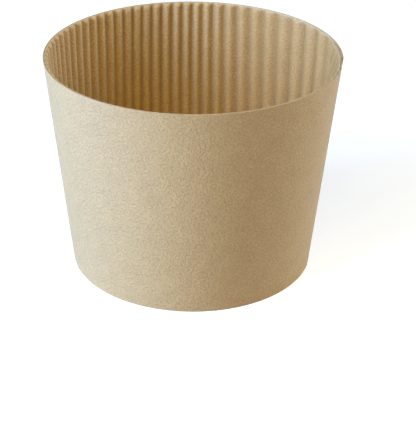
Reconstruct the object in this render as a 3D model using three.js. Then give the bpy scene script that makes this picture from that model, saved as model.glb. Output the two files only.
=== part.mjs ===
// Coffee cup sleeve: a conical wrap of single-face corrugated kraft board, open at both ends.
// The smooth liner is outside. The fluted medium is glued to its inner face. The two ends of
// the blank lap and are glued, with the flutes pressed flat in the lap.
// Millimetres and degrees, +Z up, with the base on the plane z = 0 and the axis on Z.
//
// An angle runs round the axis from the back (+Y) toward the right (+X). The blank is followed
// from the end of its inner flap, a little under minus 270, to the end of its outer flap.
//
// The flutes are straight and parallel in the flat blank, as the corrugator made them, so on
// the cone they climb straight up the wall at one angle only and lean away on both sides of it.
import * as THREE from 'three';

// Driving dimensions
const sleeveHeight = 64.8;
const baseInnerDiameter = 69.85;
const topInnerDiameter = 83.2;
const linerThickness = 0.3;
const mediumThickness = 0.2;
const fluteHeight = 1.05;
const pressedFluteHeight = 0.25;
const flutePitch = 3.2;

// The lap: the angle of the outer flap's cut end, and lengths along the base circle
const outerFlapEnd = 94;
const lapWidth = 10;
const pressedBeyondLap = 5;
const pressingRun = 4;
const flapStepRun = 6.5;

// Named clearances
const glueLine = 0.05;
const lapGlueLine = 0.05;
const flapStepClearance = 0.8;

// The flutes' place in the flat blank. From spreadStart on, toward the outer flap, they have been
// drawn wider: the pitch grows by fluteSpread for each millimetre across them.
const fluteUprightAngle = 0;
const crestPlace = -0.5;
const spreadStart = 1;
const fluteSpread = 0.07;

// Where the section of one flute has its corners, in degrees from a glued crest
const fluteCorners = [0, 40, 140, 180, 220, 320];

// How finely each paper is bent round the cone, in degrees between one bend line and the next
const linerBends = { innerFlap: 2.5, flapStep: 1.25, openWall: 2.5, pressing: 2.5, outerFlap: 2.5 };
const mediumBends = { innerFlap: 8, flapStep: 2, openWall: 8, pressing: 3, outerFlap: 4 };

// The least distance between neighbouring columns in mm, and from a bend line to a cut edge
const leastColumnGap = 0.12;
const leastBendGap = 1;

// Sizes worked out from the driving dimensions
const fullTurn = 360;
const boardThickness = linerThickness + glueLine + fluteHeight;
const baseRadius = baseInnerDiameter / 2 + boardThickness;
const topRadius = topInnerDiameter / 2 + boardThickness;
const taper = Math.atan2(topRadius - baseRadius, sleeveHeight);
const lapDrop = linerThickness + glueLine + pressedFluteHeight + lapGlueLine;

const baseAngle = (length) => THREE.MathUtils.radToDeg(length / baseRadius);

const innerFlapEnd = outerFlapEnd - fullTurn - baseAngle(lapWidth);
const flapStepStart = outerFlapEnd - fullTurn + baseAngle(flapStepClearance);
const flapStepEnd = flapStepStart + baseAngle(flapStepRun);
const pressedStart = outerFlapEnd - baseAngle(lapWidth + pressedBeyondLap);
const pressingStart = pressedStart - baseAngle(pressingRun);

// The flat blank is a sector about the cone's apex. It is laid out on the middle of the board,
// and an X in it is the distance across the flutes from the one that climbs straight up.
const middleRadius = baseRadius - linerThickness - glueLine - fluteHeight / 2;
const apexToBase = middleRadius / Math.sin(taper);
const apexDistance = (z) => apexToBase + z / Math.cos(taper);
const sectorAngle = (angle) =>
  THREE.MathUtils.degToRad(angle - fluteUprightAngle) * Math.sin(taper);
const blankX = (angle, z) => apexDistance(z) * Math.sin(sectorAngle(angle));
const angleAt = (x, z) =>
  fluteUprightAngle + THREE.MathUtils.radToDeg(Math.asin(x / apexDistance(z)) / Math.sin(taper));
const heightAt = (x, angle) =>
  (x / Math.sin(sectorAngle(angle)) - apexToBase) * Math.cos(taper);

// The pitch of the flutes at an X of the blank, the flutes counted from the crest at crestPlace
// to there, and the X at which so many have been counted
const pitchAt = (x) => flutePitch + fluteSpread * Math.max(0, x - spreadStart);
const plainFlutes = (spreadStart - crestPlace) / flutePitch;
const flutesTo = (x) => (x <= spreadStart
  ? (x - crestPlace) / flutePitch
  : plainFlutes + Math.log(pitchAt(x) / flutePitch) / fluteSpread);
const xOfFlute = (count) => (count <= plainFlutes
  ? crestPlace + count * flutePitch
  : spreadStart + (flutePitch * Math.expm1(fluteSpread * (count - plainFlutes))) / fluteSpread);

// How far the inner flap has come out of the lap: 0 under the outer flap, 1 on the open wall
const steppedOut = (angle) =>
  THREE.MathUtils.smoothstep(angle, flapStepStart, flapStepEnd);

// How far the flutes stand open: 0 where the lap is pressed flat, 1 on the open wall
const fluteOpening = (angle) =>
  steppedOut(angle) * (1 - THREE.MathUtils.smoothstep(angle, pressingStart, pressedStart));

// How deep the board's smooth face lies inside the sleeve's outer cone
const flapDepth = (angle) => lapDrop * (1 - steppedOut(angle));

// A point of the wall at an angle and a height, so deep inside the outer cone
function wallPoint(angle, z, depth) {
  const radius = THREE.MathUtils.lerp(baseRadius, topRadius, z / sleeveHeight) - depth;
  const turned = THREE.MathUtils.degToRad(angle);
  return [radius * Math.sin(turned), radius * Math.cos(turned), z];
}

// The angles of the bend lines, evenly spaced within each zone of the wall
function bendLines(bends) {
  const zones = [
    [innerFlapEnd, flapStepStart, bends.innerFlap],
    [flapStepStart, flapStepEnd, bends.flapStep],
    [flapStepEnd, pressingStart, bends.openWall],
    [pressingStart, pressedStart, bends.pressing],
    [pressedStart, outerFlapEnd, bends.outerFlap],
  ];
  const lines = [innerFlapEnd];
  for (const [start, end, step] of zones) {
    const count = Math.ceil((end - start) / step);
    for (let k = 1; k <= count; k += 1) {
      lines.push(THREE.MathUtils.lerp(start, end, k / count));
    }
  }
  return lines;
}

// Join two neighbouring columns of vertices, each listed from its low end to its high end
function joinColumns(left, right, triangles) {
  let i = 0;
  let j = 0;
  while (i < left.length - 1 || j < right.length - 1) {
    const nextLeft = i < left.length - 1 ? left[i + 1].z : Infinity;
    const nextRight = j < right.length - 1 ? right[j + 1].z : Infinity;
    if (nextLeft < nextRight) {
      triangles.push([left[i].index, left[i + 1].index, right[j].index]);
      i += 1;
    } else {
      triangles.push([left[i].index, right[j + 1].index, right[j].index]);
      j += 1;
    }
  }
}

// A sheet of paper: columns of { angle, z, outerDepth, innerDepth } from the low edge to the
// high edge, joined side by side on both faces and closed along the sheet's four cut edges
function paperSheet(columns) {
  const vertices = columns.flat();
  vertices.forEach((vertex, index) => {
    vertex.index = index;
  });
  const triangles = [];
  for (let i = 1; i < columns.length; i += 1) {
    joinColumns(columns[i - 1], columns[i], triangles);
  }

  const outer = vertices.map((v) => wallPoint(v.angle, v.z, v.outerDepth));
  const inner = vertices.map((v) => wallPoint(v.angle, v.z, v.innerDepth));
  const innerStart = vertices.length;
  const faces = [];
  const edges = new Map();
  for (const [a, b, c] of triangles) {
    faces.push(a, b, c);
    faces.push(innerStart + c, innerStart + b, innerStart + a);
    for (const [from, to] of [[a, b], [b, c], [c, a]]) {
      if (edges.has(`${to},${from}`)) {
        edges.delete(`${to},${from}`);
      } else {
        edges.set(`${from},${to}`, [from, to]);
      }
    }
  }
  for (const [from, to] of edges.values()) {
    faces.push(to, from, innerStart + from);
    faces.push(to, innerStart + from, innerStart + to);
  }

  const geometry = new THREE.BufferGeometry();
  geometry.setAttribute('position', new THREE.Float32BufferAttribute([...outer, ...inner].flat(), 3));
  geometry.setIndex(faces);
  geometry.computeVertexNormals();
  return geometry;
}

// The smooth outer paper: one straight line up the wall at each bend line
function linerGeometry() {
  const columns = bendLines(linerBends).map((angle) => {
    const outerDepth = flapDepth(angle);
    const innerDepth = outerDepth + linerThickness;
    return [0, sleeveHeight].map((z) => ({ angle, z, outerDepth, innerDepth }));
  });
  return paperSheet(columns);
}

// One vertex of the medium. Its crests lie on the glue line, and its valleys hang one wave
// below them. The paper keeps its thickness across the sloping sides of the flutes.
function mediumVertex(x, z) {
  const angle = angleAt(x, z);
  const phase = 2 * Math.PI * flutesTo(x);
  const height = THREE.MathUtils.lerp(pressedFluteHeight, fluteHeight, fluteOpening(angle));
  const amplitude = (height - mediumThickness) / 2;
  const slope = ((amplitude * 2 * Math.PI) / pitchAt(x)) * Math.sin(phase);
  const halfPaper = (mediumThickness / 2) * Math.hypot(1, slope);
  const crestDepth = flapDepth(angle) + linerThickness + glueLine + mediumThickness / 2;
  const middle = crestDepth + amplitude * (1 - Math.cos(phase));
  return { angle, z, outerDepth: middle - halfPaper, innerDepth: middle + halfPaper };
}

// The X of every line along which the medium is folded, with the blank's own corners among them
function fluteColumns() {
  const ends = [innerFlapEnd, outerFlapEnd].map((angle) =>
    [blankX(angle, 0), blankX(angle, sleeveHeight)]);
  const corners = ends.flat();
  const first = Math.min(...corners);
  const last = Math.max(...corners);
  const columns = [...corners];
  for (let flute = Math.floor(flutesTo(first)); flute <= flutesTo(last); flute += 1) {
    for (const corner of fluteCorners) {
      const x = xOfFlute(flute + corner / fullTurn);
      const clear = corners.every((other) => Math.abs(x - other) > leastColumnGap);
      if (x > first && x < last && clear) {
        columns.push(x);
      }
    }
  }
  return columns.sort((a, b) => a - b);
}

// One straight line along the flutes, from edge to edge of the blank, with a vertex at each
// bend line that it crosses
function mediumColumn(x, lines) {
  const inBlank = (angle) => angle >= innerFlapEnd && angle <= outerFlapEnd;
  const nearEnd = x < 0 ? innerFlapEnd : outerFlapEnd;
  const cut = THREE.MathUtils.clamp(heightAt(x, nearEnd), 0, sleeveHeight);
  const low = inBlank(angleAt(x, 0)) ? 0 : cut;
  const high = inBlank(angleAt(x, sleeveHeight)) ? sleeveHeight : cut;
  if (high - low < leastColumnGap) {
    return [mediumVertex(x, high)];
  }
  const angles = [angleAt(x, low), angleAt(x, high)].sort((a, b) => a - b);
  const bends = lines
    .filter((angle) => angle > angles[0] + leastBendGap && angle < angles[1] - leastBendGap)
    .map((angle) => heightAt(x, angle))
    .sort((a, b) => a - b);
  return [low, ...bends, high].map((z) => mediumVertex(x, z));
}

// The corrugated inner paper
function mediumGeometry() {
  const lines = bendLines(mediumBends);
  return paperSheet(fluteColumns().map((x) => mediumColumn(x, lines)));
}

// Unbleached kraft: the smooth liner is paler, the recycled medium a little browner
const linerKraft = new THREE.MeshStandardMaterial({ color: 0xc6a878, roughness: 0.9, metalness: 0 });
const mediumKraft = new THREE.MeshStandardMaterial({ color: 0xb08a58, roughness: 0.95, metalness: 0 });

const outerLiner = new THREE.Mesh(linerGeometry(), linerKraft);
outerLiner.name = 'outer_liner';

const flutedMedium = new THREE.Mesh(mediumGeometry(), mediumKraft);
flutedMedium.name = 'fluted_medium';

const group = new THREE.Group();
group.name = 'coffee_cup_sleeve';
group.add(outerLiner, flutedMedium);

export default group;
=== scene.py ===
"""Corrugated kraft sleeve for a paper hot cup.

Two papers are drawn from the flat blank that they are cut from. The smooth liner is a plain
sheet bent round the cone. The fluted medium lies inside it, with its flutes straight and
parallel in the blank, pressed flat where the two ends of the sleeve lap.
"""

import math

import bpy
import numpy as np
from bpy.props import FloatProperty, FloatVectorProperty, IntProperty, PointerProperty
from mathutils import Matrix, Vector


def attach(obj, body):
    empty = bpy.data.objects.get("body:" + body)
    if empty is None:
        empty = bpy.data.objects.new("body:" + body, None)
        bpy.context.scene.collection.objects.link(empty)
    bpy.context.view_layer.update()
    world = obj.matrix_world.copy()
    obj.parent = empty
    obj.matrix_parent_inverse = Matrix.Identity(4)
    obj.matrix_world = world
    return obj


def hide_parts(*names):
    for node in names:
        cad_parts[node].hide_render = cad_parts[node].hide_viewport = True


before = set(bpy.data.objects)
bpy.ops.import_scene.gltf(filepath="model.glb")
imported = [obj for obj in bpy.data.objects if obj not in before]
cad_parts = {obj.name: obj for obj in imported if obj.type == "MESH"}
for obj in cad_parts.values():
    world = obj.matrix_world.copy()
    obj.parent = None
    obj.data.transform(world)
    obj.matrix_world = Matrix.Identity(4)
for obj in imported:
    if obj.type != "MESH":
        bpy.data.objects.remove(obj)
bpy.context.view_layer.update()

bl_info = {
    "name": "Corrugated cup sleeve",
    "version": (1, 0, 0),
    "blender": (4, 5, 0),
    "location": "3D Viewport > Sidebar > Sleeve",
    "description": "Builds a cup sleeve of single-face corrugated kraft board, with its stage",
    "category": "Object",
}

MM = 0.001
FULL_TURN = 360.0

# Places on the blank, in degrees round the cone from the back toward the right
OUTER_FLAP_END = 94.0
FLUTE_UPRIGHT_ANGLE = 0.0

# Lengths along the base circle, in metres
LAP_WIDTH = 10 * MM
PRESSED_BEYOND_LAP = 5 * MM
PRESSING_RUN = 4 * MM
FLAP_STEP_RUN = 6.5 * MM
FLAP_STEP_CLEARANCE = 0.8 * MM

# Glue lines, and the place of the flutes in the blank
GLUE_LINE = 0.05 * MM
LAP_GLUE_LINE = 0.05 * MM
CREST_PLACE = -0.5 * MM
SPREAD_START = 1 * MM

# One unit of the papers' texture map is this much paper
MAP_UNIT = 10 * MM

# Mesh of the papers: degrees from column to column of the liner, the radius of the cut edges, and
# the rows close to a cut edge, by their distance from it
LINER_STEP = 0.5
EDGE_RADIUS = 0.04 * MM
EDGE_INSETS = (0.06 * MM, 0.25 * MM, 0.5 * MM, 0.8 * MM, 1.2 * MM)

# The medium's columns keep this share of their spacing clear of the blank's corners. A column
# reaches the blank's curved edge if it meets it within the ends, give or take these degrees.
CORNER_CLEARANCE = 0.3
ANGLE_SLACK = 1e-6

# How far from a cut edge the flutes are crushed, and how far the paper is bruised. Pressed or
# crushed, the flutes' waves keep at least this amplitude.
CRUSHED_REACH = 0.85 * MM
WORN_REACH = 0.65 * MM
LEAST_AMPLITUDE = 0.01 * MM

# Unevenness of the flutes, each a field of waves: seed, number of waves, longest and shortest.
# The strays are drawn out along the flutes by the stretch. The dents take away a share of the
# height.
STRAY_WAVES = (3, 14, 60 * MM, 14 * MM)
STRAY_STRETCH = 0.35
DENT_WAVES = (7, 16, 40 * MM, 9 * MM)
DENT_SHARE = 0.05

# Painted shade along the glue lines, which are the flutes' valleys seen from inside: how quickly
# it fades beside them, and how much of it shows where the flutes are pressed flat
GROOVE_SHADE_SHARPNESS = 1.5
PRESSED_GROOVE_SHADE = 0.6

# Noise of the kraft, in features per unit of the map, with its detail and roughness
CLOUDS = (2.2, 3.0, 0.6)
GRAIN = (16.0, 2.0, 0.65)
FIBRES = (1.5, 4.0, 0.7)
SHIVES = (2.6, 2.0, 0.5)
POLISH = (9.0, 3.0, 0.6)

# How much closer the features lie across and along the flutes
EVEN = (1.0, 1.0)
FIBRE_SQUEEZE = (10.0, 24.0)
SHIVE_SQUEEZE = (4.0, 14.0)

# How far each noise spreads the paper's tone, and the depth of its relief
CLOUD_TONE = 0.05
GRAIN_TONE = 0.2
FIBRE_TONE = 0.05
CLOUD_RELIEF = 0.2 * MM
GRAIN_RELIEF = 0.19 * MM
FIBRE_RELIEF = 0.02 * MM

# Strength of the relief on each paper
LINER_RELIEF = 1.0
MEDIUM_RELIEF = 0.8

# Shives show where their noise passes from the first value to the second. They are this dense,
# and their colour is this share of the paper's.
SHIVE_RANGE = (0.7, 0.76)
SHIVE_DENSITY = 0.45
SHIVE_SHADE = 0.45

# The face of the kraft: middle and spread of its roughness, its gloss and its soft sheen
KRAFT_ROUGHNESS = (0.62, 0.06)
KRAFT_GLOSS = 0.5
KRAFT_SHEEN = 0.3
SHEEN_ROUGHNESS = 0.3

# The cut edge: noise, squeeze along the cut, middle and spread of the tone, relief and gloss
CUT_GRAIN = (22.0, 4.0, 0.7)
CUT_LAYERS = (2.0, 3.0, 0.6)
LAYER_SQUEEZE = (6.0, 60.0)
CUT_GRAIN_TONE = (0.98, 0.12)
CUT_LAYER_TONE = (0.99, 0.08)
CUT_RELIEF = 0.05 * MM
CUT_RELIEF_STRENGTH = 0.6
CUT_ROUGHNESS = 0.95
CUT_GLOSS = 0.2

# The part of a noise's range that carries nearly all of its values
NOISE_RANGE = (0.3, 0.7)

# The camera, in metres. It stands in front of the sleeve, a little above it, and its lens is set
# for the frame of the photograph, whose long side the sensor covers.
CAMERA_PLACE = Vector((0.0, -0.35993, 0.20957))
CAMERA_LOOK = Vector((0.0118, 0.8756, -0.4830))
CAMERA_UP = Vector((-0.0074, 0.4831, 0.8756))
CAMERA_LENS = 111.38
CAMERA_NEAREST = 0.01
SENSOR = 36.0

# Lamps: name, azimuth from the front toward the right, elevation, distance, width, height,
# strength in watts, and colour
LAMPS = (
    ("window_left", -60.0, 22.0, 1.0, 0.6, 0.8, 11.1, (0.68, 1.0, 1.72)),
    ("low_left", -76.0, 1.2, 1.0, 0.5, 0.06, 6.6, (0.44, 1.0, 2.8)),
    ("high_front", -10.0, 50.0, 1.0, 0.7, 0.9, 4.6, (1.0, 0.78, 0.3)),
    ("rim_right", 106.0, 20.0, 1.0, 0.5, 0.8, 8.6, (0.87, 1.0, 1.25)),
)
AMBIENT = 0.01
WHITE = (1.0, 1.0, 1.0)

# The floor and its glow, which only the camera and a gloss or a glass see: near the sleeve, where
# it leaves the shadow grey, and the distances between which it grows to white
FLOOR_SIZE = 6.0
FLOOR_GLOW = (0.55, 0.57, 0.58)
FLOOR_FADE = (0.25, 0.8)


class SleeveSizes(bpy.types.PropertyGroup):
    """The sleeve's sizes."""

    height: FloatProperty(
        name="Height", description="Height of the sleeve",
        default=64.8 * MM, min=0.01, unit="LENGTH")
    base_inner_diameter: FloatProperty(
        name="Base inside", description="Inner diameter at the narrow end",
        default=69.85 * MM, min=0.01, unit="LENGTH")
    top_inner_diameter: FloatProperty(
        name="Top inside", description="Inner diameter at the wide end",
        default=83.2 * MM, min=0.01, unit="LENGTH")
    liner_thickness: FloatProperty(
        name="Liner", description="Thickness of the smooth outer paper",
        default=0.3 * MM, min=0.0001, precision=5, unit="LENGTH")
    medium_thickness: FloatProperty(
        name="Medium", description="Thickness of the fluted paper",
        default=0.2 * MM, min=0.0001, precision=5, unit="LENGTH")
    flute_height: FloatProperty(
        name="Flute height", description="Height of the open flutes over both crests",
        default=1.05 * MM, min=0.0002, precision=5, unit="LENGTH")
    pressed_height: FloatProperty(
        name="Pressed height", description="Height of the flutes where the lap is pressed",
        default=0.25 * MM, min=0.0002, precision=5, unit="LENGTH")
    flute_pitch: FloatProperty(
        name="Flute pitch", description="Distance from crest to crest",
        default=3.2 * MM, min=0.001, precision=5, unit="LENGTH")
    flute_spread: FloatProperty(
        name="Flute spread", description="Growth of the pitch toward the outer flap, per length",
        default=0.07, min=0.001, max=0.2)
    flute_wander: FloatProperty(
        name="Flute wander", description="How far a flute strays sideways on its way up",
        default=0.1 * MM, min=0.0, precision=5, unit="LENGTH")
    steps_per_flute: IntProperty(
        name="Steps per flute", description="Columns of the mesh in one flute", default=16, min=6)
    rows: IntProperty(
        name="Rows", description="Rows of the mesh from edge to edge", default=20, min=4)
    washboard: FloatProperty(
        name="Washboard", description="How far the flutes show through the liner",
        default=0.012 * MM, min=0.0, precision=6, unit="LENGTH")
    crushed_share: FloatProperty(
        name="Crushed edge", description="Share of the flute height lost at the cut edges",
        default=0.7, min=0.0, max=0.9, subtype="FACTOR")


class KraftColours(bpy.types.PropertyGroup):
    """Colours of the papers and of the stage, as linear values."""

    liner: FloatVectorProperty(
        name="Liner", description="Colour of the smooth outer paper",
        default=(0.48, 0.295, 0.105), subtype="COLOR", min=0.0, max=1.0)
    # Paler than the liner: partly the paper's own colour, partly painted light that stands for
    # more light reaching the inside
    medium: FloatVectorProperty(
        name="Medium", description="Colour of the fluted inner paper",
        default=(0.62, 0.405, 0.162), subtype="COLOR", min=0.0, max=1.0)
    # Painted shade: the medium darker along its glue lines, which are the flutes' valleys seen
    # from inside
    groove_shade: FloatVectorProperty(
        name="Groove", description="Colour of the medium along its glue lines",
        default=(0.45, 0.275, 0.1), subtype="COLOR", min=0.0, max=1.0)
    cut_edge: FloatVectorProperty(
        name="Cut edge", description="Colour of the freshly cut edges",
        default=(0.63, 0.46, 0.23), subtype="COLOR", min=0.0, max=1.0)
    floor: FloatVectorProperty(
        name="Floor", description="Colour of the floor",
        default=(0.7, 0.7, 0.7), subtype="COLOR", min=0.0, max=1.0)


class Blank:
    """The flat blank and the cone that it is bent into, worked out from the sizes."""

    def __init__(self, sizes):
        self.sizes = sizes
        board = sizes.liner_thickness + GLUE_LINE + sizes.flute_height
        self.base_radius = sizes.base_inner_diameter / 2 + board
        self.top_radius = sizes.top_inner_diameter / 2 + board
        self.taper = math.atan2(self.top_radius - self.base_radius, sizes.height)
        middle = self.base_radius - sizes.liner_thickness - GLUE_LINE - sizes.flute_height / 2
        self.apex_to_base = middle / math.sin(self.taper)
        self.lap_drop = sizes.liner_thickness + GLUE_LINE + sizes.pressed_height + LAP_GLUE_LINE
        self.inner_flap_end = OUTER_FLAP_END - FULL_TURN - self.base_angle(LAP_WIDTH)
        self.step_start = OUTER_FLAP_END - FULL_TURN + self.base_angle(FLAP_STEP_CLEARANCE)
        self.step_end = self.step_start + self.base_angle(FLAP_STEP_RUN)
        self.pressed_start = OUTER_FLAP_END - self.base_angle(LAP_WIDTH + PRESSED_BEYOND_LAP)
        self.pressing_start = self.pressed_start - self.base_angle(PRESSING_RUN)
        self.plain_flutes = (SPREAD_START - CREST_PLACE) / sizes.flute_pitch

    def base_angle(self, length):
        """The angle that a length along the base circle takes up."""
        return math.degrees(length / self.base_radius)

    def apex_distance(self, z):
        """Distance from the cone's apex to a height on the wall, along the wall."""
        return self.apex_to_base + z / math.cos(self.taper)

    def sector_angle(self, angle):
        """The angle in the flat blank for an angle round the cone, in radians."""
        return np.radians(angle - FLUTE_UPRIGHT_ANGLE) * math.sin(self.taper)

    def blank_x(self, angle, z):
        """Distance across the flutes from the one that climbs straight up."""
        return self.apex_distance(z) * np.sin(self.sector_angle(angle))

    def blank_y(self, angle, z):
        """Distance along the flutes, from the cone's apex."""
        return self.apex_distance(z) * np.cos(self.sector_angle(angle))

    def angle_at(self, x, z):
        """The angle round the cone where the line across at x has climbed to z."""
        sector = np.arcsin(x / self.apex_distance(z))
        return FLUTE_UPRIGHT_ANGLE + np.degrees(sector / math.sin(self.taper))

    def height_at(self, x, angle):
        """The height at which the line across at x passes an angle."""
        return (x / np.sin(self.sector_angle(angle)) - self.apex_to_base) * math.cos(self.taper)

    def stepped_out(self, angle):
        """0 where the inner flap lies under the outer flap, 1 on the open wall."""
        return smooth(angle, self.step_start, self.step_end)

    def flute_opening(self, angle):
        """0 where the lap is pressed flat, 1 on the open wall."""
        pressed = smooth(angle, self.pressing_start, self.pressed_start)
        return self.stepped_out(angle) * (1 - pressed)

    def flap_depth(self, angle):
        """How deep the board's smooth face lies inside the outer cone."""
        return self.lap_drop * (1 - self.stepped_out(angle))

    def pitch_at(self, x):
        """The pitch of the flutes at a place across the blank."""
        return self.sizes.flute_pitch + self.sizes.flute_spread * np.maximum(0, x - SPREAD_START)

    def flutes_to(self, x):
        """The flutes counted from the crest at CREST_PLACE to x."""
        spread = self.sizes.flute_spread
        plain = (x - CREST_PLACE) / self.sizes.flute_pitch
        wide = self.plain_flutes + np.log(self.pitch_at(x) / self.sizes.flute_pitch) / spread
        return np.where(x <= SPREAD_START, plain, wide)

    def x_of_flute(self, count):
        """The place across the blank at which so many flutes have been counted."""
        spread = self.sizes.flute_spread
        pitch = self.sizes.flute_pitch
        plain = CREST_PLACE + count * pitch
        beyond = np.maximum(0, count - self.plain_flutes)
        wide = SPREAD_START + pitch * np.expm1(spread * beyond) / spread
        return np.where(count <= self.plain_flutes, plain, wide)

    def wall_points(self, angle, z, depth):
        """Points of the wall, so deep inside the outer cone."""
        radius = self.base_radius + (self.top_radius - self.base_radius) * z / self.sizes.height
        turned = np.radians(angle)
        inside = radius - depth
        return np.stack([inside * np.sin(turned), inside * np.cos(turned), z], -1)


def smooth(value, low, high):
    """A smooth step from 0 at low to 1 at high."""
    t = np.clip((value - low) / (high - low), 0, 1)
    return t * t * (3 - 2 * t)


def waves(along, across, seed, count, longest, shortest):
    """A smooth random field, mostly between -1 and 1: a sum of sine waves of seeded directions."""
    rng = np.random.default_rng(seed)
    total = np.zeros(np.broadcast(along, across).shape)
    for _ in range(count):
        heading = rng.uniform(0, math.pi)
        length = rng.uniform(shortest, longest)
        start = rng.uniform(0, 2 * math.pi)
        path = along * math.cos(heading) + across * math.sin(heading)
        total += np.sin(2 * math.pi * path / length + start)
    return total / math.sqrt(count)


def paper_mesh(name, outer, inner, map_points, looks):
    """A closed sheet between two grids of points, with its cut edges in the second material.

    looks holds values for each point by name, which the paper's colour reads."""
    columns, rows = outer.shape[:2]
    index = np.arange(columns * rows).reshape(columns, rows)
    back = index + columns * rows

    def quads(a, b, c, d):
        return np.stack([a.ravel(), b.ravel(), c.ravel(), d.ravel()], -1)

    faces = [
        quads(index[:-1, :-1], index[:-1, 1:], index[1:, 1:], index[1:, :-1]),
        quads(back[:-1, :-1], back[1:, :-1], back[1:, 1:], back[:-1, 1:]),
    ]
    face_count = sum(len(part) for part in faces)
    edges = [
        quads(index[:-1, -1], back[:-1, -1], back[1:, -1], index[1:, -1]),
        quads(index[:-1, 0], index[1:, 0], back[1:, 0], back[:-1, 0]),
        quads(index[0, :-1], back[0, :-1], back[0, 1:], index[0, 1:]),
        quads(index[-1, :-1], index[-1, 1:], back[-1, 1:], back[-1, :-1]),
    ]
    polygons = np.concatenate(faces + edges)
    points = np.concatenate([outer.reshape(-1, 3), inner.reshape(-1, 3)])

    mesh = bpy.data.meshes.new(name)
    mesh.from_pydata(points.tolist(), [], polygons.tolist())
    mesh.update()
    is_edge = np.zeros(len(polygons), dtype=np.int32)
    is_edge[face_count:] = 1
    mesh.polygons.foreach_set("material_index", is_edge)
    mesh.polygons.foreach_set("use_smooth", is_edge == 0)

    both = np.concatenate([map_points.reshape(-1, 2)] * 2)
    corners = np.empty(len(mesh.loops), dtype=np.int32)
    mesh.loops.foreach_get("vertex_index", corners)
    layer = mesh.uv_layers.new(name="paper")
    layer.data.foreach_set("uv", both[corners].astype(np.float32).ravel())
    for look, shares in looks.items():
        values = mesh.attributes.new(look, "FLOAT", "POINT")
        values.data.foreach_set("value", np.concatenate([face.ravel() for face in shares]))
    return mesh


def new_piece(name, mesh, node, materials):
    """Link the mesh as a piece of the sleeve that stands for a CAD node."""
    for material in materials:
        mesh.materials.append(material)
    piece = bpy.data.objects.new(name, mesh)
    bpy.context.scene.collection.objects.link(piece)
    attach(piece, "root")
    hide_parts(node)
    return piece


class Nodes:
    """A short way to write a material's node tree."""

    def __init__(self, name):
        self.material = bpy.data.materials.new(name)
        self.material.use_nodes = True
        self.tree = self.material.node_tree
        self.shader = self.tree.nodes["Principled BSDF"]

    def add(self, kind, **values):
        """A node of this kind. A value sets the node's own setting, or the input of that name."""
        node = self.tree.nodes.new(kind)
        for key, value in values.items():
            if key in node.inputs:
                node.inputs[key].default_value = value
            else:
                setattr(node, key, value)
        return node

    def link(self, source, target):
        """Join an output to an input."""
        self.tree.links.new(source, target)

    def colour(self, values):
        """A plain colour."""
        node = self.add("ShaderNodeRGB")
        node.outputs["Color"].default_value = (*values, 1.0)
        return node.outputs["Color"]

    def paper_map(self, squeeze):
        """The paper's own coordinates, with features closer across and along the flutes."""
        place = self.add("ShaderNodeUVMap", uv_map="paper")
        mapping = self.add("ShaderNodeMapping", Scale=(*squeeze, 1.0))
        self.link(place.outputs["UV"], mapping.inputs["Vector"])
        return mapping.outputs["Vector"]

    def noise(self, vector, scale, detail, roughness):
        """Noise about the value 0.5."""
        texture = self.add("ShaderNodeTexNoise", Scale=scale, Detail=detail, Roughness=roughness)
        self.link(vector, texture.inputs["Vector"])
        return texture.outputs["Fac"]

    def ranged(self, value, source, target):
        """A value moved from one range to another, and held within it."""
        node = self.add("ShaderNodeMapRange")
        node.inputs["From Min"].default_value, node.inputs["From Max"].default_value = source
        node.inputs["To Min"].default_value, node.inputs["To Max"].default_value = target
        self.link(value, node.inputs["Value"])
        return node.outputs["Result"]

    def spread(self, noise, middle, reach):
        """Noise spread to either side of another middle."""
        return self.ranged(noise, NOISE_RANGE, (middle - reach, middle + reach))

    def attribute(self, name):
        """A value that the mesh holds for each of its points."""
        return self.add("ShaderNodeAttribute", attribute_name=name).outputs["Fac"]

    def multiply(self, first, second):
        """The product of two values."""
        node = self.add("ShaderNodeMath", operation="MULTIPLY")
        self.link(first, node.inputs[0])
        self.link(second, node.inputs[1])
        return node.outputs["Value"]

    def shade(self, colour, amount):
        """A colour made darker or paler by a value about 1."""
        node = self.add("ShaderNodeVectorMath", operation="SCALE")
        self.link(colour, node.inputs[0])
        self.link(amount, node.inputs["Scale"])
        return node.outputs["Vector"]

    def tint(self, colour, other, amount):
        """A colour mixed toward another by a value."""
        node = self.add("ShaderNodeMix", data_type="RGBA")
        self.link(colour, node.inputs["A"])
        node.inputs["B"].default_value = (*other, 1.0)
        self.link(amount, node.inputs["Factor"])
        return node.outputs["Result"]

    def bump(self, height, distance, strength, normal=None):
        """Surface relief from a value."""
        node = self.add("ShaderNodeBump", Strength=strength, Distance=distance)
        self.link(height, node.inputs["Height"])
        if normal is not None:
            self.link(normal, node.inputs["Normal"])
        return node.outputs["Normal"]


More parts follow.
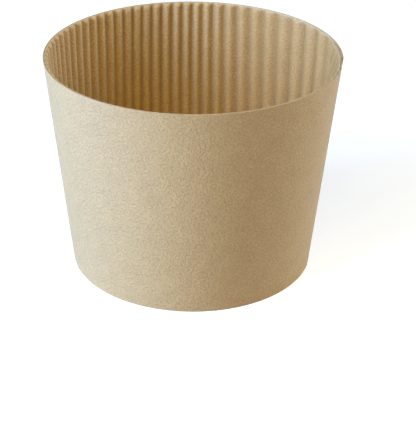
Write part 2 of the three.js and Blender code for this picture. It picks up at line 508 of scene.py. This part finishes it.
def kraft_paper(name, colour, marks, relief):
    """Unbleached kraft: cloudy pulp, fine grain and fibres, and a few dark shives.

    marks names the values that the mesh holds for its points, each with the colour that the
    paper has where the value is 1. relief is the strength of all the relief."""
    nodes = Nodes(name)
    even_map = nodes.paper_map(EVEN)
    clouds = nodes.noise(even_map, *CLOUDS)
    grain = nodes.noise(even_map, *GRAIN)
    fibres = nodes.noise(nodes.paper_map(FIBRE_SQUEEZE), *FIBRES)

    marked = nodes.colour(colour)
    for mark, other in marks.items():
        marked = nodes.tint(marked, other, nodes.attribute(mark))
    tone = nodes.spread(clouds, 1.0, CLOUD_TONE)
    tone = nodes.multiply(tone, nodes.spread(grain, 1.0, GRAIN_TONE))
    tone = nodes.multiply(tone, nodes.spread(fibres, 1.0, FIBRE_TONE))
    shives = nodes.noise(nodes.paper_map(SHIVE_SQUEEZE), *SHIVES)
    dark = tuple(SHIVE_SHADE * part for part in colour)
    density = nodes.ranged(shives, SHIVE_RANGE, (0.0, SHIVE_DENSITY))
    speckled = nodes.tint(nodes.shade(marked, tone), dark, density)
    nodes.link(speckled, nodes.shader.inputs["Base Color"])

    polish = nodes.spread(nodes.noise(even_map, *POLISH), *KRAFT_ROUGHNESS)
    nodes.link(polish, nodes.shader.inputs["Roughness"])
    normal = nodes.bump(clouds, CLOUD_RELIEF, relief)
    normal = nodes.bump(grain, GRAIN_RELIEF, relief, normal)
    normal = nodes.bump(fibres, FIBRE_RELIEF, relief, normal)
    nodes.link(normal, nodes.shader.inputs["Normal"])
    nodes.shader.inputs["Specular IOR Level"].default_value = KRAFT_GLOSS
    nodes.shader.inputs["Sheen Weight"].default_value = KRAFT_SHEEN
    nodes.shader.inputs["Sheen Roughness"].default_value = SHEEN_ROUGHNESS
    return nodes.material


def cut_paper(name, colour):
    """The cut edge: pale torn fibres in fine layers along the cut."""
    nodes = Nodes(name)
    grain = nodes.noise(nodes.paper_map(EVEN), *CUT_GRAIN)
    layers = nodes.noise(nodes.paper_map(LAYER_SQUEEZE), *CUT_LAYERS)
    tone = nodes.spread(grain, *CUT_GRAIN_TONE)
    tone = nodes.multiply(tone, nodes.spread(layers, *CUT_LAYER_TONE))
    nodes.link(nodes.shade(nodes.colour(colour), tone), nodes.shader.inputs["Base Color"])
    normal = nodes.bump(grain, CUT_RELIEF, CUT_RELIEF_STRENGTH)
    nodes.link(normal, nodes.shader.inputs["Normal"])
    nodes.shader.inputs["Roughness"].default_value = CUT_ROUGHNESS
    nodes.shader.inputs["Specular IOR Level"].default_value = CUT_GLOSS
    return nodes.material


def edge_rows(rows, height):
    """Shares of the way from edge to edge, with a few more rows close to each cut edge."""
    close = np.array(EDGE_INSETS) / height
    return np.unique(np.concatenate([np.linspace(0, 1, rows), close, 1 - close]))


def edge_wear(z, height):
    """How bruised the paper is by the cut: 1 at the edges, 0 on the wall."""
    return 1 - smooth(np.minimum(z, height - z), 0, WORN_REACH)


def softened(outer_depth, inner_depth, radius):
    """Draw the two faces together at the cut edges, so that the edges are a little rounded."""
    outer_depth = outer_depth.copy()
    inner_depth = inner_depth.copy()
    for row in (0, -1):
        outer_depth[:, row] += radius
        inner_depth[:, row] -= radius
    for column in (0, -1):
        outer_depth[column] += radius
        inner_depth[column] -= radius
    return outer_depth, inner_depth


class SLEEVE_OT_outer_liner(bpy.types.Operator):
    """Bend the smooth outer paper round the cone."""

    bl_idname = "sleeve.outer_liner"
    bl_label = "Outer liner"

    def execute(self, context):
        sizes = context.scene.sleeve_sizes
        colours = context.scene.sleeve_colours
        blank = Blank(sizes)
        count = int((OUTER_FLAP_END - blank.inner_flap_end) / LINER_STEP) + 1
        angle = np.linspace(blank.inner_flap_end, OUTER_FLAP_END, count)[:, None]
        z = (edge_rows(sizes.rows, sizes.height) * sizes.height)[None, :]
        angle, z = np.broadcast_arrays(angle, z)

        x = blank.blank_x(angle, z)
        hollow = 0.5 * (1 - np.cos(2 * math.pi * blank.flutes_to(x))) * blank.flute_opening(angle)
        outer_depth = blank.flap_depth(angle) + sizes.washboard * hollow
        inner_depth = outer_depth + sizes.liner_thickness
        outer_depth, inner_depth = softened(outer_depth, inner_depth, EDGE_RADIUS)
        outer = blank.wall_points(angle, z, outer_depth)
        inner = blank.wall_points(angle, z, inner_depth)
        along = (blank.blank_y(angle, z) - blank.apex_to_base) / MAP_UNIT
        worn = edge_wear(z, sizes.height)
        looks = {"worn": (0 * worn, worn)}
        mesh = paper_mesh("liner_board", outer, inner, np.stack([x / MAP_UNIT, along], -1), looks)

        marks = {"worn": colours.cut_edge}
        face = kraft_paper("liner_kraft", colours.liner, marks, LINER_RELIEF)
        edge = cut_paper("liner_cut_edge", colours.cut_edge)
        new_piece("liner_board", mesh, "outer_liner", [face, edge])
        return {"FINISHED"}


class SLEEVE_OT_fluted_medium(bpy.types.Operator):
    """Lay the fluted paper inside the liner."""

    bl_idname = "sleeve.fluted_medium"
    bl_label = "Fluted medium"

    def columns(self, blank, sizes):
        """Places across the blank of the mesh's columns, with the blank's corners among them."""
        corners = np.array([
            blank.blank_x(angle, z)
            for angle in (blank.inner_flap_end, OUTER_FLAP_END)
            for z in (0, sizes.height)])
        first, last = corners.min(), corners.max()
        steps = sizes.steps_per_flute
        low = math.ceil(blank.flutes_to(first) * steps)
        high = math.floor(blank.flutes_to(last) * steps)
        x = blank.x_of_flute(np.arange(low, high + 1) / steps)
        apart = CORNER_CLEARANCE * sizes.flute_pitch / steps
        clear = np.min(np.abs(x[:, None] - corners[None, :]), 1) > apart
        return np.sort(np.concatenate([x[clear], corners]))

    def grid(self, blank, sizes):
        """Columns along the flutes, from the lower edge or end of the blank to the upper one."""
        x = self.columns(blank, sizes)
        near_end = np.where(x < 0, blank.inner_flap_end, OUTER_FLAP_END)
        cut = np.clip(blank.height_at(x, near_end), 0, sizes.height)
        first = blank.inner_flap_end - ANGLE_SLACK
        last = OUTER_FLAP_END + ANGLE_SLACK
        foot = blank.angle_at(x, 0)
        head = blank.angle_at(x, sizes.height)
        low = np.where((foot > first) & (foot < last), 0, cut)[:, None]
        high = np.where((head > first) & (head < last), sizes.height, cut)[:, None]
        z = low + (high - low) * edge_rows(sizes.rows, sizes.height)[None, :]
        x = np.broadcast_to(x[:, None], z.shape)
        angle = np.clip(blank.angle_at(x, z), blank.inner_flap_end, OUTER_FLAP_END)
        return x, z, angle

    def flutes(self, blank, sizes, x, z, angle):
        """Depth of the paper's middle inside the outer cone, half its thickness along that depth,
        and how far round its wave each point lies, in radians from the crest on the liner."""
        open_share = blank.flute_opening(angle)
        wander = sizes.flute_wander * waves(x, STRAY_STRETCH * z, *STRAY_WAVES)
        dents = 1 - DENT_SHARE * (1 + waves(x, z, *DENT_WAVES)) * open_share
        height = sizes.pressed_height + (sizes.flute_height - sizes.pressed_height) * open_share
        to_edge = np.minimum(z, sizes.height - z)
        crushed = 1 - sizes.crushed_share * open_share * (1 - smooth(to_edge, 0, CRUSHED_REACH))
        height = height * crushed
        amplitude = (height * np.minimum(dents, 1) - sizes.medium_thickness) / 2
        amplitude = np.maximum(amplitude, LEAST_AMPLITUDE)
        phase = 2 * math.pi * (blank.flutes_to(x) + wander * open_share / blank.pitch_at(x))
        slope = amplitude * 2 * math.pi / blank.pitch_at(x) * np.sin(phase)
        half_paper = sizes.medium_thickness / 2 * np.hypot(1, slope)
        crest_depth = (blank.flap_depth(angle) + sizes.liner_thickness + GLUE_LINE
                       + sizes.medium_thickness / 2)
        return crest_depth + amplitude * (1 - np.cos(phase)), half_paper, phase

    def execute(self, context):
        sizes = context.scene.sleeve_sizes
        colours = context.scene.sleeve_colours
        blank = Blank(sizes)
        x, z, angle = self.grid(blank, sizes)
        middle, half_paper, phase = self.flutes(blank, sizes, x, z, angle)
        outer_depth, inner_depth = softened(middle - half_paper, middle + half_paper, EDGE_RADIUS)
        outer = blank.wall_points(angle, z, outer_depth)
        inner = blank.wall_points(angle, z, inner_depth)
        along = (blank.blank_y(angle, z) - blank.apex_to_base) / MAP_UNIT
        # Painted shade in the flutes' valleys along the glue lines, fainter where the flutes are
        # pressed flat
        shade_strength = PRESSED_GROOVE_SHADE + (1 - PRESSED_GROOVE_SHADE) * blank.flute_opening(angle)
        groove_shade = shade_strength * (0.5 + 0.5 * np.cos(phase)) ** GROOVE_SHADE_SHARPNESS
        worn = edge_wear(z, sizes.height)
        looks = {"groove_shade": (groove_shade, groove_shade), "worn": (worn, worn)}
        mesh = paper_mesh("medium_board", outer, inner, np.stack([x / MAP_UNIT, along], -1), looks)

        marks = {"groove_shade": colours.groove_shade, "worn": colours.cut_edge}
        face = kraft_paper("medium_kraft", colours.medium, marks, MEDIUM_RELIEF)
        edge = cut_paper("medium_cut_edge", colours.cut_edge)
        new_piece("medium_board", mesh, "fluted_medium", [face, edge])
        return {"FINISHED"}


def aim(thing, place, look, up):
    """Set a camera or lamp at a place, looking one way with its top the other."""
    back = -look.normalized()
    side = up.cross(back).normalized()
    top = back.cross(side)
    turned = Matrix((side, top, back)).transposed().to_4x4()
    thing.matrix_world = Matrix.Translation(place) @ turned


def seen_rays(tree):
    """1 for the rays of the camera and for those that a gloss or a glass sends on, and else 0."""
    rays = tree.nodes.new("ShaderNodeLightPath")
    seen = rays.outputs["Is Camera Ray"]
    for kind in ("Is Glossy Ray", "Is Transmission Ray"):
        either = tree.nodes.new("ShaderNodeMath")
        either.operation = "MAXIMUM"
        tree.links.new(seen, either.inputs[0])
        tree.links.new(rays.outputs[kind], either.inputs[1])
        seen = either.outputs["Value"]
    return seen


class SLEEVE_OT_stage(bpy.types.Operator):
    """Set the floor, the soft lamps, the white surroundings and the camera."""

    bl_idname = "sleeve.stage"
    bl_label = "Stage"

    def floor(self, scene, colour):
        """A pale floor that looks white to the camera and keeps the sleeve's shadow."""
        half = FLOOR_SIZE / 2
        mesh = bpy.data.meshes.new("floor")
        corners = [(-half, -half, 0), (half, -half, 0), (half, half, 0), (-half, half, 0)]
        mesh.from_pydata(corners, [], [(0, 1, 2, 3)])
        nodes = Nodes("floor_paint")
        shader = nodes.shader
        shader.inputs["Base Color"].default_value = (*colour, 1.0)
        shader.inputs["Roughness"].default_value = 1.0
        shader.inputs["Specular IOR Level"].default_value = 0.0
        place = nodes.add("ShaderNodeTexCoord")
        away = nodes.add("ShaderNodeVectorMath", operation="LENGTH")
        nodes.link(place.outputs["Object"], away.inputs[0])
        far = nodes.ranged(away.outputs["Value"], FLOOR_FADE, (0.0, 1.0))
        glow = nodes.tint(nodes.colour(FLOOR_GLOW), WHITE, far)
        nodes.link(glow, shader.inputs["Emission Color"])
        nodes.link(seen_rays(nodes.tree), shader.inputs["Emission Strength"])
        mesh.materials.append(nodes.material)
        floor = bpy.data.objects.new("floor", mesh)
        scene.collection.objects.link(floor)

    def lamps(self, scene, target):
        """Large soft lamps that look at the sleeve's middle."""
        for name, azimuth, elevation, distance, width, height, power, colour in LAMPS:
            lamp = bpy.data.lights.new(name, "AREA")
            lamp.shape = "RECTANGLE"
            lamp.size = width
            lamp.size_y = height
            lamp.energy = power
            lamp.color = colour
            thing = bpy.data.objects.new(name, lamp)
            scene.collection.objects.link(thing)
            turn = math.radians(azimuth)
            rise = math.radians(elevation)
            level = Vector((math.sin(turn), -math.cos(turn), 0))
            way = math.cos(rise) * level + Vector((0, 0, math.sin(rise)))
            aim(thing, target + distance * way, -way, Vector((0, 0, 1)))

    def surroundings(self, scene):
        """Even, faint light all round. It looks white to the camera and in a gloss or a glass."""
        world = bpy.data.worlds.new("studio")
        world.use_nodes = True
        scene.world = world
        tree = world.node_tree
        background = tree.nodes["Background"]
        background.inputs["Color"].default_value = (*WHITE, 1.0)
        level = tree.nodes.new("ShaderNodeMapRange")
        level.inputs["To Min"].default_value = AMBIENT
        level.inputs["To Max"].default_value = 1.0
        tree.links.new(seen_rays(tree), level.inputs["Value"])
        tree.links.new(level.outputs["Result"], background.inputs["Strength"])

    def camera(self, scene):
        """The camera at the photograph's place and angle."""
        lens = bpy.data.cameras.new("camera")
        lens.lens = CAMERA_LENS
        lens.sensor_width = SENSOR
        lens.sensor_fit = "AUTO"
        lens.clip_start = CAMERA_NEAREST
        camera = bpy.data.objects.new("camera", lens)
        scene.collection.objects.link(camera)
        aim(camera, CAMERA_PLACE, CAMERA_LOOK, CAMERA_UP)
        scene.camera = camera

    def execute(self, context):
        scene = context.scene
        scene.view_settings.view_transform = "Standard"
        self.floor(scene, scene.sleeve_colours.floor)
        self.lamps(scene, Vector((0, 0, scene.sleeve_sizes.height / 2)))
        self.surroundings(scene)
        self.camera(scene)
        return {"FINISHED"}


class SLEEVE_PT_panel(bpy.types.Panel):
    """Lists the sleeve's sizes, colours and pieces."""

    bl_label = "Cup sleeve"
    bl_idname = "SLEEVE_PT_panel"
    bl_space_type = "VIEW_3D"
    bl_region_type = "UI"
    bl_category = "Sleeve"

    def draw(self, context):
        layout = self.layout
        for group in (context.scene.sleeve_sizes, context.scene.sleeve_colours):
            column = layout.column(align=True)
            for name in group.__annotations__:
                column.prop(group, name)
        for operator in OPERATORS:
            layout.operator(operator.bl_idname)


OPERATORS = (SLEEVE_OT_outer_liner, SLEEVE_OT_fluted_medium, SLEEVE_OT_stage)
CLASSES = (SleeveSizes, KraftColours, *OPERATORS, SLEEVE_PT_panel)


def register():
    """Add the classes, and the sizes and colours that the scene holds."""
    for cls in CLASSES:
        bpy.utils.register_class(cls)
    bpy.types.Scene.sleeve_sizes = PointerProperty(type=SleeveSizes)
    bpy.types.Scene.sleeve_colours = PointerProperty(type=KraftColours)


def unregister():
    """Take away what register has added."""
    del bpy.types.Scene.sleeve_colours
    del bpy.types.Scene.sleeve_sizes
    for cls in reversed(CLASSES):
        bpy.utils.unregister_class(cls)


def main():
    """Build the sleeve and its stage."""
    register()
    bpy.ops.sleeve.outer_liner()
    bpy.ops.sleeve.fluted_medium()
    bpy.ops.sleeve.stage()


if __name__ == "__main__":
    main()
